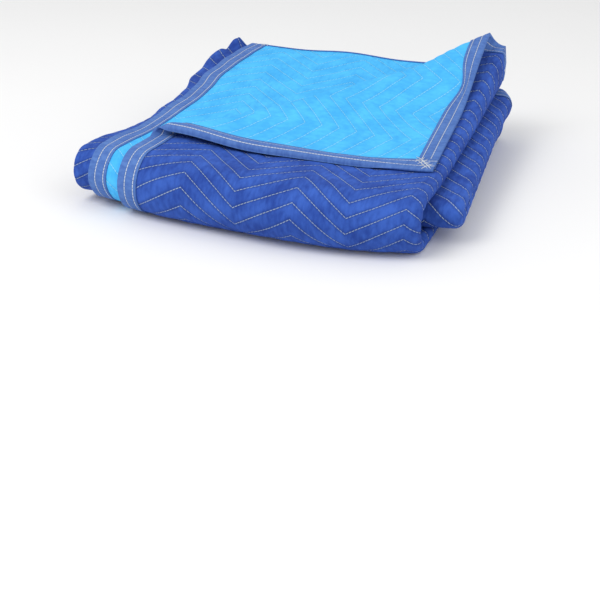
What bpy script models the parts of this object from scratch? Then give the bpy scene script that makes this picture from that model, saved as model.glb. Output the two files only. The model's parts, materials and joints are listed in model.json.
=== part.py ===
"""Folded moving blanket: one quilted two-faced cloth with a bound edge on each side.

Units are metres and +Z is up.  The cloth is flat in (u, v): u runs across the width that is
folded left to right, v runs along the length that is folded front to back.  The width is folded
in half and in half again into a strip of four levels.  The strip is folded in half and in half
again, which gives sixteen layers with a large bend at the front.  The corner of the top layer is
turned back over a slanting crease, so the light inner face shows.
"""

import math
from typing import NamedTuple

import bmesh
import bpy
from mathutils import Vector

# Cloth
CLOTH_WIDTH = 1.778
CLOTH_LENGTH = 1.981
PITCH = 0.0054
HALF_THICK = 0.00215
BOUND_HALF_THICK = 0.0011
BOUND_RAMP = 0.012
STRIP = 4 * PITCH

# Quilting: zigzag rows of stitches across the cloth
ROW_PITCH = 0.030
ZIG_RUN = 0.079
ZIG_RISE = 0.042
STITCH_DEPTH = 0.0014

# Binding tape, folded over each edge
TAPE_WIDTH = 0.029
TAPE_INNER = 0.0014
TAPE_OUTER = 0.0020
TAPE_END_INNER = 0.0003
TAPE_END_OUTER = 0.0009
TAPE_BUTT = 0.0003

# Left to right folding, in the strip's own section
RIGHT_TURN = 0.446
LEFT_TURN = -0.018
EDGE_TWO = 0.008
SMALL_RADIUS = 0.5 * PITCH
WIDE_RADIUS = 1.5 * PITCH

# Front to back folding, radii at the strip's middle
FRONT_TURN = 8 * PITCH
FRONT_RADIUS = 6 * PITCH
INNER_RADIUS = 2 * PITCH
STRIP_REACH = 1.5 * PITCH
BACK_END = 0.530
INNER_END = 0.486
INNER_TURN = 0.087

# Top pass's free end, bent down over the back of the stack
HANG_START = 0.492
HANG_CENTRE = 12 * PITCH - 0.004
HANG_RADIUS = 0.015
HANG_STATIONS = (0.0144, 0.0217, 0.038)



class HangRow(NamedTuple):
    """How far the end hangs down at a place across the stack, as a share of a right angle."""

    x: float
    share: float


HANG_ROWS = (
    HangRow(0.20, 1.0),
    HangRow(0.30, 0.8),
    HangRow(0.40, 0.4),
    HangRow(RIGHT_TURN, 0.0),
)

# Sideways slip of the inner passes at the ends of their runs
SLIP_BACK_LOW = 0.006
SLIP_NOSE = 0.036
SLIP_BACK_HIGH = 0.018

# Turned corner, in plan
CREASE_LEFT_Y = 0.104
CREASE_RIGHT_X = 0.4455
CORNER_LANDS = Vector((0.441, 0.118))
CREASE_RADIUS_LEFT = 0.0045
CREASE_RADIUS_RIGHT = 0.0100
CREASE_STEPS = 6
SETTLE_LENGTH = 0.15
SETTLE_LINES = (0.03, 0.07, 0.11, 0.15)
HILL_HEIGHT = 0.016
HILL_X = (0.27, 0.44)
HILL_Y = (0.30, 0.51)

# Settling of the soft stack.  Each row is a line across it, front to back, with the front's
# bow and the height factors at the front, the shoulder and the back.
class SettleRow(NamedTuple):
    """Bow and height factors of the stack along a line of constant x."""

    x: float
    bow: float
    front: float
    shoulder: float
    back: float


SETTLE_ROWS = (
    SettleRow(0.000, 0.000, 1.00, 1.00, 1.38),
    SettleRow(0.110, 0.018, 0.99, 0.95, 1.37),
    SettleRow(0.200, 0.028, 0.98, 0.91, 1.36),
    SettleRow(0.300, 0.030, 0.96, 0.88, 1.36),
    SettleRow(0.400, 0.018, 0.94, 0.85, 1.34),
    SettleRow(0.457, 0.000, 0.93, 0.84, 1.32),
)
SHOULDER_Y = 0.13
BACK_Y = 0.500
BOW_END_Y = 0.30
TAPER = 0.045

# Origin: middle of the bottom face
ORIGIN = Vector((0.225, 0.245, PITCH / 2 - HALF_THICK))


class Leg(NamedTuple):
    """One stretch of a folding path: a straight run, or a turn about a centre."""

    name: str
    length: float
    turn: float = 0.0
    radius: float = 0.0


class FoldPath:
    """A path of straight runs and turns, measured by the cloth that it takes up."""

    def __init__(self, start, heading, legs):
        self.legs = {}
        self.order = []
        point = Vector(start)
        direction = Vector(heading)
        used = 0.0
        for leg in legs:
            self.legs[leg.name] = (leg, used, point.copy(), direction.copy())
            self.order.append(leg.name)
            used += leg.length
            point, direction = self._along(leg, point, direction, leg.length)
        self.length = used

    @staticmethod
    def _along(leg, point, direction, used):
        if not leg.turn:
            return point + direction * used, direction.copy()
        side = 1.0 if leg.turn > 0 else -1.0
        left = Vector((-direction.y, direction.x))
        centre = point + left * leg.radius * side
        angle = leg.turn * used / leg.length
        spoke = point - centre
        cos, sin = math.cos(angle), math.sin(angle)
        spoke = Vector((spoke.x * cos - spoke.y * sin, spoke.x * sin + spoke.y * cos))
        direction = Vector((direction.x * cos - direction.y * sin,
                            direction.x * sin + direction.y * cos))
        return centre + spoke, direction

    def span(self, name):
        """Cloth length at the start and at the end of a leg."""
        leg, used, _, _ = self.legs[name]
        return used, used + leg.length

    def leg_at(self, distance):
        """Name of the leg that a cloth length falls on."""
        for name in self.order:
            if distance <= self.span(name)[1]:
                return name
        return self.order[-1]

    def at(self, distance, left_offset):
        """Point at a cloth length, moved to the left of the way the path runs."""
        leg, used, point, direction = self.legs[self.leg_at(distance)]
        point, direction = self._along(leg, point, direction, distance - used)
        return point + Vector((-direction.y, direction.x)) * left_offset


def half_turn(name, radius, side, reach=0.0):
    """A turn of half a circle, whose cloth is measured at a reach outside its radius."""
    return Leg(name, math.pi * (radius + reach), side * math.pi, radius)


SECTION_TURNS = math.pi * (2 * SMALL_RADIUS + WIDE_RADIUS)
TOP_RUN = CLOTH_WIDTH - SECTION_TURNS - (RIGHT_TURN - EDGE_TWO) - 2 * (RIGHT_TURN - LEFT_TURN)
SECTION = FoldPath((EDGE_TWO, 2.5 * PITCH), (1.0, 0.0), (
    Leg("level_two", RIGHT_TURN - EDGE_TWO),
    half_turn("inner_right", SMALL_RADIUS, -1),
    Leg("level_one", RIGHT_TURN - LEFT_TURN),
    half_turn("left", SMALL_RADIUS, 1),
    Leg("level_zero", RIGHT_TURN - LEFT_TURN),
    half_turn("outer_right", WIDE_RADIUS, 1),
    Leg("level_three", TOP_RUN),
))
EDGE_THREE = RIGHT_TURN - TOP_RUN
FOLD_START, FOLD_END = SECTION.span("outer_right")

PROFILE_TURNS = math.pi * (FRONT_RADIUS + 2 * INNER_RADIUS + 3 * STRIP_REACH)
LAST_RUN = INNER_END - INNER_TURN
MIDDLE_RUNS = CLOTH_LENGTH - PROFILE_TURNS - (BACK_END - FRONT_TURN) - LAST_RUN
BACK_TURN = (MIDDLE_RUNS + FRONT_TURN + INNER_TURN) / 2
PROFILE = FoldPath((BACK_END, 14 * PITCH), (-1.0, 0.0), (
    Leg("top_pass", BACK_END - FRONT_TURN),
    half_turn("front_bend", FRONT_RADIUS, 1, STRIP_REACH),
    Leg("bottom_pass", BACK_TURN - FRONT_TURN),
    half_turn("back_bend", INNER_RADIUS, 1, STRIP_REACH),
    Leg("low_pass", BACK_TURN - INNER_TURN),
    half_turn("nose_bend", INNER_RADIUS, -1, STRIP_REACH),
    Leg("high_pass", LAST_RUN),
))



class SlipRow(NamedTuple):
    """Sideways slip of the strip at a cloth length along the profile."""

    v: float
    slip: float


SLIP_ROWS = (
    SlipRow(PROFILE.span("bottom_pass")[1], 0.0),
    SlipRow(PROFILE.span("low_pass")[0], SLIP_BACK_LOW),
    SlipRow(PROFILE.span("low_pass")[1], SLIP_NOSE),
    SlipRow(PROFILE.span("high_pass")[0], SLIP_NOSE),
    SlipRow(PROFILE.span("high_pass")[1], SLIP_BACK_HIGH),
)

# Flat stations of the cloth's base grid: how many parts each leg is cut into.  Straight legs
# are also cut where the settling table has its rows, so that all the layers share its facets.
SECTION_PARTS = {"level_two": 1, "inner_right": 3, "level_one": 1, "left": 4,
                 "level_zero": 1, "outer_right": 6, "level_three": 1}
PROFILE_PARTS = {"top_pass": 1, "front_bend": 8, "bottom_pass": 1, "back_bend": 5,
                 "low_pass": 1, "nose_bend": 5, "high_pass": 1}
PLAN_X = tuple(row.x for row in SETTLE_ROWS[1:-1])
PLAN_Y = (SHOULDER_Y, BOW_END_Y)


def smooth(value):
    """Smooth step from 0 to 1."""
    value = min(max(value, 0.0), 1.0)
    return value * value * (3.0 - 2.0 * value)


def between(rows, place):
    """Second column of a table at a place on its first column, straight between its rows."""
    if place <= rows[0][0]:
        return rows[0][1]
    for low, high in zip(rows, rows[1:]):
        if place <= high[0]:
            return low[1] + (high[1] - low[1]) * (place - low[0]) / (high[0] - low[0])
    return rows[-1][1]


class TurnedCorner:
    """The corner of the top layer, turned back over a slanting crease."""

    def __init__(self):
        self.left = Vector((EDGE_THREE, CREASE_LEFT_Y))
        self.right = Vector((CREASE_RIGHT_X, BACK_END))
        self.corner = Vector((EDGE_THREE, BACK_END))
        self.crease = self.right - self.left
        self.crease_length = self.crease.length
        self.along = self.crease.normalized()
        self.outward = Vector((-self.along.y, self.along.x))
        lands = CORNER_LANDS - self.left
        self.lands_along = lands.dot(self.along)
        roll = math.pi * self.radius(self.lands_along)
        self.lands_off = roll - lands.dot(self.outward)

    def radius(self, along):
        """Radius of the crease's roll, at a distance along the crease."""
        share = along / self.crease_length
        return CREASE_RADIUS_LEFT + (CREASE_RADIUS_RIGHT - CREASE_RADIUS_LEFT) * share

    def shares(self, x, y):
        """Place of a flat point, as shares of the crease and of the corner's side."""
        point = Vector((x, y)) - self.left
        side = self.corner - self.left
        cross = self.crease.x * side.y - self.crease.y * side.x
        on_crease = (point.x * side.y - point.y * side.x) / cross
        on_side = (self.crease.x * point.y - self.crease.y * point.x) / cross
        return on_crease, on_side

    def flat_line(self, angle, beyond):
        """Two flat points of the line where the roll has turned by an angle."""
        grow = (CREASE_RADIUS_RIGHT - CREASE_RADIUS_LEFT) / self.crease_length
        points = []
        for share in (0.0, 1.0):
            start = angle * self.radius(share * self.crease_length) + beyond
            on_side = start / (self.lands_off - angle * grow * self.lands_along)
            points.append(self.left + self.crease * share + (self.corner - self.left) * on_side)
        return points

    def place(self, x, y, height):
        """Plan place and height of a point of the top level, height from the level's middle."""
        on_crease, on_side = self.shares(x, y)
        along = on_crease * self.crease_length + on_side * self.lands_along
        off = on_side * self.lands_off
        radius = self.radius(along)
        angle = off / radius
        if angle < math.pi:
            spoke = radius - height
            out = spoke * math.sin(angle)
            rise = radius - spoke * math.cos(angle)
        else:
            out = math.pi * radius - off
            settled = smooth(-out / SETTLE_LENGTH)
            rise = 2 * radius + (PITCH - 2 * radius) * settled - height
        plan = self.left + self.along * along + self.outward * out
        return plan.x, plan.y, rise


CORNER = TurnedCorner()


def hill(x, y):
    """Height that the turned corner pulls the top level up by, at the right back."""
    share_x = smooth((x - HILL_X[0]) / (HILL_X[1] - HILL_X[0]))
    share_y = smooth((y - HILL_Y[0]) / (HILL_Y[1] - HILL_Y[0]))
    return HILL_HEIGHT * share_x * share_y


def settle_row(x):
    """Settling at a place across the stack, between the rows of the table."""
    pairs = list(zip(SETTLE_ROWS, SETTLE_ROWS[1:]))
    low, high = next((pair for pair in pairs if x <= pair[1].x), pairs[-1])
    share = (x - low.x) / (high.x - low.x)
    return SettleRow(*(a + (b - a) * share for a, b in zip(low, high)))


def settle(x, y, z, sideways=0.0):
    """Place in the settled stack: lower at the front right, higher and narrower behind."""
    row = settle_row(x)
    if y < SHOULDER_Y:
        factor = row.front + (row.shoulder - row.front) * y / SHOULDER_Y
    else:
        factor = row.shoulder + (row.back - row.shoulder) * (y - SHOULDER_Y) / (BACK_Y - SHOULDER_Y)
    bow = row.bow * min(max(1.0 - y / BOW_END_Y, 0.0), 1.0)
    across = (x + sideways) * (1.0 - TAPER * y / BACK_Y)
    return Vector((across - ORIGIN.x, y - bow - ORIGIN.y, (z - ORIGIN.z) * factor))


def hang(y, z, share):
    """Bend the top pass's free end down over the back of the stack, by a share of a right angle."""
    beyond = y - HANG_START
    if beyond <= 0.0 or share <= 0.0:
        return y, z
    angle = min(beyond / HANG_RADIUS, share * math.pi / 2)
    rest = beyond - angle * HANG_RADIUS
    spoke = z - HANG_CENTRE
    y = HANG_START + spoke * math.sin(angle) + rest * math.cos(angle)
    z = HANG_CENTRE + spoke * math.cos(angle) - rest * math.sin(angle)
    return y, z


def fold(u, v, off):
    """Place of a flat point of the cloth, off its middle towards the light face."""
    x, rise = SECTION.at(u, off)
    y, z = PROFILE.at(v, -(rise - STRIP / 2))
    if PROFILE.leg_at(v) != "top_pass":
        return settle(x, y, z, between(SLIP_ROWS, v))
    leg = SECTION.leg_at(u)
    if leg == "level_three" and CORNER.shares(x, y)[1] > 0.0:
        x, y, height = CORNER.place(x, y, rise - 3.5 * PITCH)
        return settle(x, y, 15.5 * PITCH + hill(x, y) + height)
    lifted = {"level_three": 1.0, "outer_right": (u - FOLD_START) / (FOLD_END - FOLD_START)}
    lift = lifted.get(leg, 0.0)
    z += hill(x, y) * smooth(lift)
    y, z = hang(y, z, between(HANG_ROWS, x) * (1.0 - lift))
    return settle(x, y, z)


def zigzag(u):
    """How far a row of stitches has moved along the cloth at a place across it."""
    runs = u / ZIG_RUN
    share = runs - 2.0 * math.floor(runs / 2.0)
    return ZIG_RISE * (share if share < 1.0 else 2.0 - share)


def half_thickness(u, v, quilted):
    """Half the cloth's thickness: drawn in along the stitches and under the binding."""
    edge = min(u, CLOTH_WIDTH - u, v, CLOTH_LENGTH - v)
    body = HALF_THICK
    if quilted:
        row = (v - zigzag(u)) / ROW_PITCH
        from_stitch = abs(row - round(row)) * 2.0
        body -= STITCH_DEPTH * (1.0 - math.sqrt(max(from_stitch, 0.0)))
    share = smooth((edge - TAPE_WIDTH) / BOUND_RAMP)
    return BOUND_HALF_THICK + (body - BOUND_HALF_THICK) * share


class Window(NamedTuple):
    """A flat rectangle of the cloth that shows, so its quilting is raised."""

    u_low: float
    u_high: float
    v_low: float
    v_high: float

    def holds(self, u, v):
        """True inside the rectangle or on its border."""
        slack = 1e-6
        return (self.u_low - slack <= u <= self.u_high + slack
                and self.v_low - slack <= v <= self.v_high + slack)


MARGIN = TAPE_WIDTH + BOUND_RAMP
TOP_WINDOW = Window(FOLD_START, CLOTH_WIDTH - MARGIN,
                    MARGIN, PROFILE.span("front_bend")[1])
SECOND_WINDOW = Window(MARGIN, SECTION.span("level_two")[1], MARGIN, PROFILE.span("top_pass")[1])
FOLD_FACET = (FOLD_END - FOLD_START) / SECTION_PARTS["outer_right"]
NOSE_WINDOW = Window(FOLD_START + FOLD_FACET, FOLD_END - 2 * FOLD_FACET,
                     PROFILE.span("nose_bend")[1], CLOTH_LENGTH - MARGIN)
BACK_WINDOW = Window(FOLD_END, CLOTH_WIDTH - MARGIN,
                     PROFILE.span("back_bend")[0], PROFILE.span("back_bend")[1])


def covered(u, v):
    """True where the turned corner or the layer above hides the quilting."""
    x = SECTION.at(u, 0.0).x
    y = BACK_END - v
    leg = SECTION.leg_at(u)
    if leg == "outer_right" or v > PROFILE.span("top_pass")[1]:
        return False
    if leg == "level_two":
        return CORNER.shares(x, y)[1] < 0.02
    on_crease, on_side = CORNER.shares(x, y)
    if on_side > 0.0:
        return False
    lands = CORNER_LANDS - CORNER.left
    point = Vector((x, y)) - CORNER.left
    above_front = lands.x * point.y - lands.y * point.x
    right = CORNER.right - CORNER_LANDS
    from_lands = Vector((x, y)) - CORNER_LANDS
    left_of_right = right.x * from_lands.y - right.y * from_lands.x
    return above_front > 0.012 * lands.length and left_of_right > 0.012 * right.length


def stations(path, parts, low, high, margins, plan):
    """Flat stations of a path's legs, with the margins that the binding needs."""
    marks = {low, high, *margins}
    for name, count in parts.items():
        start, end = path.span(name)
        marks.update(start + (end - start) * step / count for step in range(count + 1))
        first, last = path.at(start, 0.0).x, path.at(end, 0.0).x
        leg = path.legs[name][0]
        if not leg.turn:
            marks.update(start + abs(place - first) for place in plan
                         if min(first, last) < place < max(first, last))
    inside = sorted(mark for mark in marks if low <= mark <= high)
    kept = [inside[0]]
    for mark in inside[1:]:
        if mark - kept[-1] > 1e-5:
            kept.append(mark)
    return kept


U_STATIONS = stations(SECTION, SECTION_PARTS, 0.0, CLOTH_WIDTH,
                      (TAPE_WIDTH, MARGIN,
                       CLOTH_WIDTH - TAPE_WIDTH, CLOTH_WIDTH - MARGIN), PLAN_X)
V_STATIONS = stations(PROFILE, PROFILE_PARTS, 0.0, CLOTH_LENGTH,
                      (TAPE_WIDTH, MARGIN, *HANG_STATIONS,
                       CLOTH_LENGTH - TAPE_WIDTH, CLOTH_LENGTH - MARGIN), PLAN_Y)


def cut(flat, point, direction, keep_in=None, hidden=None):
    """Cut a flat mesh along a line, in the faces whose middle is in a window and not hidden."""
    faces = flat.faces[:]
    if keep_in:
        faces = []
        for face in flat.faces:
            middle = face.calc_center_median()
            if keep_in.holds(middle.x, middle.y) and not (hidden and hidden(middle.x, middle.y)):
                faces.append(face)
    edges = {edge for face in faces for edge in face.edges}
    verts = {vert for face in faces for vert in face.verts}
    normal = Vector((-direction[1], direction[0], 0.0))
    bmesh.ops.bisect_plane(flat, geom=[*verts, *edges, *faces], dist=1e-6,
                           plane_co=(point[0], point[1], 0.0), plane_no=normal)


def flat_rectangle(u_low, u_high, v_low, v_high):
    """A flat mesh cut at the stations of the folding inside a rectangle."""
    flat = bmesh.new()
    bmesh.ops.create_grid(flat, x_segments=1, y_segments=1, size=0.5)
    for vert in flat.verts:
        vert.co.x = u_low if vert.co.x < 0 else u_high
        vert.co.y = v_low if vert.co.y < 0 else v_high
    for u in U_STATIONS:
        if u_low + 1e-5 < u < u_high - 1e-5:
            cut(flat, (u, 0.0), (0.0, 1.0))
    for v in V_STATIONS:
        if v_low + 1e-5 < v < v_high - 1e-5:
            cut(flat, (0.0, v), (1.0, 0.0))
    cut_crease(flat)
    return flat


def cut_crease(flat):
    """Cut a flat mesh along the roll of the turned corner's crease."""
    level = SECTION.span("level_three")[0]
    window = Window(level, CLOTH_WIDTH + TAPE_WIDTH, -TAPE_WIDTH, PROFILE.span("top_pass")[1])
    lines = [(math.pi * step / CREASE_STEPS, 0.0) for step in range(CREASE_STEPS + 1)]
    lines += [(math.pi, beyond) for beyond in SETTLE_LINES]
    for angle, beyond in lines:
        first, second = CORNER.flat_line(angle, beyond)
        point = (level + RIGHT_TURN - first.x, BACK_END - first.y)
        direction = (first.x - second.x, first.y - second.y)
        cut(flat, point, direction, window)


def cut_quilting(flat, window):
    """Cut a flat mesh along the stitch rows and along the crests between them."""
    first = math.ceil(window.u_low / ZIG_RUN)
    last = math.floor(window.u_high / ZIG_RUN)
    for run in range(first, last + 1):
        cut(flat, (run * ZIG_RUN, 0.0), (0.0, 1.0), window, covered)
    for run in range(first - 1, last + 1):
        strip = window._replace(u_low=max(run * ZIG_RUN, window.u_low),
                                u_high=min((run + 1) * ZIG_RUN, window.u_high))
        low, high = zigzag(run * ZIG_RUN), zigzag((run + 1) * ZIG_RUN)
        lowest = math.floor((window.v_low - ZIG_RISE) / (ROW_PITCH / 2))
        highest = math.ceil(window.v_high / (ROW_PITCH / 2))
        for line in range(lowest, highest + 1):
            point = (run * ZIG_RUN, line * ROW_PITCH / 2 + low)
            cut(flat, point, (ZIG_RUN, high - low), strip, covered)


def folded_plan(vert):
    """How far right and back a flat point lies in the folded stack."""
    return SECTION.at(vert.co.x, 0.0).x + PROFILE.at(vert.co.y, 0.0).x


def split_faces(flat):
    """Cut a flat mesh into triangles, its four-sided faces all along the same way in plan."""
    for face in flat.faces[:]:
        if len(face.verts) == 4:
            ordered = sorted(face.verts, key=folded_plan)
            near = [vert for edge in ordered[0].link_edges for vert in edge.verts]
            if ordered[-1] not in near:
                bmesh.utils.face_split(face, ordered[0], ordered[-1])
    bmesh.ops.triangulate(flat, faces=flat.faces[:])
    flat.verts.ensure_lookup_table()
    flat.verts.index_update()


def mesh_object(name, points, faces, material, parts):
    """Make an object from points and faces, with its faces pointing out."""
    mesh = bpy.data.meshes.new(name)
    mesh.from_pydata(points, [], faces)
    check = bmesh.new()
    check.from_mesh(mesh)
    if check.calc_volume(signed=True) < 0:
        bmesh.ops.reverse_faces(check, faces=check.faces[:])
    bmesh.ops.triangulate(check, faces=check.faces[:])
    check.to_mesh(mesh)
    check.free()
    mesh.materials.append(material)
    mesh.shade_smooth()
    mesh.set_sharp_from_angle(angle=math.radians(50))
    item = bpy.data.objects.new(name, mesh)
    parts.objects.link(item)
    return item


def build_cloth(material, parts):
    """The quilted cloth: one closed sheet in its folds."""
    flat = flat_rectangle(0.0, CLOTH_WIDTH, 0.0, CLOTH_LENGTH)
    windows = (TOP_WINDOW, SECOND_WINDOW, NOSE_WINDOW, BACK_WINDOW)
    for window in windows:
        cut_quilting(flat, window)
    split_faces(flat)
    light, dark = [], []
    for vert in flat.verts:
        u, v = vert.co.x, vert.co.y
        quilted = any(window.holds(u, v) for window in windows) and not covered(u, v)
        half = half_thickness(u, v, quilted)
        light.append(fold(u, v, half))
        dark.append(fold(u, v, -half))
    count = len(light)
    faces = []
    for face in flat.faces:
        ring = [vert.index for vert in face.verts]
        faces.append(ring)
        faces.append([index + count for index in reversed(ring)])
    for edge in flat.edges:
        if edge.is_boundary:
            loop = edge.link_loops[0]
            first, second = loop.vert.index, loop.link_loop_next.vert.index
            faces.append([second, first, first + count, second + count])
    flat.free()
    return mesh_object("quilted_cloth", light + dark, faces, material, parts)


def build_tape(name, bounds, edge_axis, edge_at, material, parts):
    """A binding tape folded over one edge of the cloth.

    bounds is the tape's flat rectangle on one face; edge_axis is 0 where the edge lies at a
    constant u and 1 where it lies at a constant v; edge_at is that value.
    """
    flat = flat_rectangle(*bounds)
    split_faces(flat)
    inward = 1.0 if edge_at < 0.5 else -1.0
    skins = ((TAPE_OUTER, TAPE_END_OUTER), (TAPE_INNER, TAPE_END_INNER),
             (-TAPE_INNER, TAPE_END_INNER), (-TAPE_OUTER, TAPE_END_OUTER))
    points = []
    for off, beyond in skins:
        for vert in flat.verts:
            place = [vert.co.x, vert.co.y]
            if abs(place[edge_axis] - edge_at) < 1e-6:
                place[edge_axis] = edge_at - inward * beyond
            points.append(fold(place[0], place[1], off))
    count = len(flat.verts)
    faces = []
    for face in flat.faces:
        ring = [vert.index for vert in face.verts]
        back = list(reversed(ring))
        faces += [ring, [i + count for i in back],
                  [i + 2 * count for i in ring], [i + 3 * count for i in back]]
    for edge in flat.edges:
        if not edge.is_boundary:
            continue
        loop = edge.link_loops[0]
        a, b = loop.vert.index, loop.link_loop_next.vert.index
        on_edge = all(abs(vert.co[edge_axis] - edge_at) < 1e-6 for vert in edge.verts)
        if on_edge:
            faces.append([b, a, a + 3 * count, b + 3 * count])
            faces.append([a + count, b + count, b + 2 * count, a + 2 * count])
            continue
        faces.append([b, a, a + count, b + count])
        faces.append([b + 2 * count, a + 2 * count, a + 3 * count, b + 3 * count])
    for vert in flat.verts:
        if abs(vert.co[edge_axis] - edge_at) > 1e-6:
            continue
        ends = [edge for edge in vert.link_edges if edge.is_boundary and any(
            abs(other.co[edge_axis] - edge_at) > 1e-6 for other in edge.verts)]
        if ends:
            i = vert.index
            faces.append([i, i + count, i + 2 * count, i + 3 * count])
    flat.free()
    return tape_object(name, points, faces, material, parts)


def tape_object(name, points, faces, material, parts):
    """Make a tape's object, with all of its faces wound the same way."""
    item = mesh_object(name, points, faces, material, parts)
    tidy = bmesh.new()
    tidy.from_mesh(item.data)
    bmesh.ops.recalc_face_normals(tidy, faces=tidy.faces[:])
    if tidy.calc_volume(signed=True) < 0:
        bmesh.ops.reverse_faces(tidy, faces=tidy.faces[:])
    tidy.to_mesh(item.data)
    tidy.free()
    return item


def cloth_material(name, colour, roughness):
    """A plain fabric material in one colour."""
    material = bpy.data.materials.new(name)
    material.use_nodes = True
    shader = material.node_tree.nodes["Principled BSDF"]
    shader.inputs["Base Color"].default_value = (*colour, 1.0)
    shader.inputs["Roughness"].default_value = roughness
    shader.inputs["Metallic"].default_value = 0.0
    return material


def main():
    """Build the folded blanket and its four binding tapes."""
    for item in list(bpy.data.objects):
        bpy.data.objects.remove(item, do_unlink=True)
    parts = bpy.data.collections.new("moving_blanket")
    bpy.context.scene.collection.children.link(parts)

    build_cloth(cloth_material("quilted_cotton", (0.03, 0.09, 0.44), 0.9), parts)
    clear = TAPE_WIDTH + TAPE_BUTT
    out = TAPE_END_OUTER
    tapes = (
        ("tape_second_layer_side", (0.0, TAPE_WIDTH, -out, CLOTH_LENGTH + out), 0, 0.0),
        ("tape_top_layer_side",
         (CLOTH_WIDTH - TAPE_WIDTH, CLOTH_WIDTH, -out, CLOTH_LENGTH + out), 0, CLOTH_WIDTH),
        ("tape_top_end", (clear, CLOTH_WIDTH - clear, 0.0, TAPE_WIDTH), 1, 0.0),
        ("tape_inner_end",
         (clear, CLOTH_WIDTH - clear, CLOTH_LENGTH - TAPE_WIDTH, CLOTH_LENGTH), 1, CLOTH_LENGTH),
    )
    for name, bounds, axis, edge_at in tapes:
        material = cloth_material(name + "_weave", (0.09, 0.17, 0.47), 0.8)
        build_tape(name, bounds, axis, edge_at, material, parts)


main()
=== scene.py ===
"""Looks of the folded moving blanket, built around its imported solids.

The cloth is flat in (across, along): across runs over the width that is folded left to right,
along runs over the length that is folded front to back.  Lengths are metres and +Z is up.  The
script repeats the part's folding with finer steps and flowing tables, so that each piece stays
where its solid is, and dresses it with quilting, sewing, weave and tape.
"""

from __future__ import annotations

import json
import logging
import math
from dataclasses import dataclass, field
from enum import Enum

import bpy
import numpy as np
from mathutils import Matrix, Vector

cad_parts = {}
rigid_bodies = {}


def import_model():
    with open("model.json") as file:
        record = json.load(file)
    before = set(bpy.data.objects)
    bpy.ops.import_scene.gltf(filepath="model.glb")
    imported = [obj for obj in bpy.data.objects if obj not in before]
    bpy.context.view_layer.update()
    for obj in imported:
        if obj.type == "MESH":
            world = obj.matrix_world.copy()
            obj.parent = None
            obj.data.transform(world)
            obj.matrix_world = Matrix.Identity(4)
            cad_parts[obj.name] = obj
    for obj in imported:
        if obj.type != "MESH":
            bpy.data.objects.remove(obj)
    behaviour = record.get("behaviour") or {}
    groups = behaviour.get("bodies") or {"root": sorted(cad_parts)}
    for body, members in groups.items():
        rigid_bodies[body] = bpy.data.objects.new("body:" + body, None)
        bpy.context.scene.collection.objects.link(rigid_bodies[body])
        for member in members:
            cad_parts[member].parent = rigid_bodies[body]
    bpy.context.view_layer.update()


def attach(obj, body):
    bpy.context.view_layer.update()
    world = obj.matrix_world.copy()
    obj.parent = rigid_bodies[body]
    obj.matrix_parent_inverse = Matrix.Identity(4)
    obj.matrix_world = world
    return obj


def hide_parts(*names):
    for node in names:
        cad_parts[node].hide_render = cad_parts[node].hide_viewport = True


LOG = logging.getLogger("moving_blanket")
FLAT_MAP = "flat_cloth"
SEWN_MAP = "sewn_rows"


@dataclass(frozen=True)
class ClothSizes:
    """Sizes of the flat cloth, its layers and its binding, in metres."""

    width: float = 1.778
    length: float = 1.981
    pitch: float = 0.0054
    half_thick: float = 0.00215
    bound_half: float = 0.0011
    bound_ramp: float = 0.012
    tape_width: float = 0.029
    tape_inner: float = 0.0014
    tape_outer: float = 0.0020
    tape_butt: float = 0.0003
    tape_end: float = 0.0009

    @property
    def strip(self) -> float:
        """Height of the four levels of the strip."""
        return 4 * self.pitch


CLOTH = ClothSizes()


def smooth(value: np.ndarray) -> np.ndarray:
    """Smooth step from 0 to 1."""
    value = np.clip(value, 0.0, 1.0)
    return value * value * (3.0 - 2.0 * value)


def hump(value: np.ndarray) -> np.ndarray:
    """A smooth hump of height 1 at 0, gone beyond about 2 on each side."""
    return np.exp(-value * value)


def soft_ramp(value: np.ndarray, width: float) -> np.ndarray:
    """A ramp that is 0 below 0 and rises evenly above, rounded over a width on each side."""
    rounded = (value + width) ** 2 / (4.0 * width)
    return np.where(value < -width, 0.0, np.where(value > width, value, rounded))


def flowing(places: tuple[float, ...], values: tuple[float, ...], at: np.ndarray) -> np.ndarray:
    """A smooth curve through a table's rows, straight beyond its ends.

    Args:
        places: the rows' places, rising.
        values: the rows' values.
        at: where to read it.

    Returns:
        The value at each place asked for.
    """
    xs, ys = np.array(places), np.array(values)
    slopes = np.gradient(ys, xs)
    inside = np.clip(at, xs[0], xs[-1])
    row = np.clip(np.searchsorted(xs, inside) - 1, 0, len(xs) - 2)
    gap = xs[row + 1] - xs[row]
    t = (inside - xs[row]) / gap
    value = ((1 + 2 * t) * (1 - t) ** 2 * ys[row] + t * (1 - t) ** 2 * gap * slopes[row]
             + t * t * (3 - 2 * t) * ys[row + 1] + t * t * (t - 1) * gap * slopes[row + 1])
    end_slope = np.where(at < xs[0], slopes[0], slopes[-1])
    return value + (at - inside) * end_slope


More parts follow.
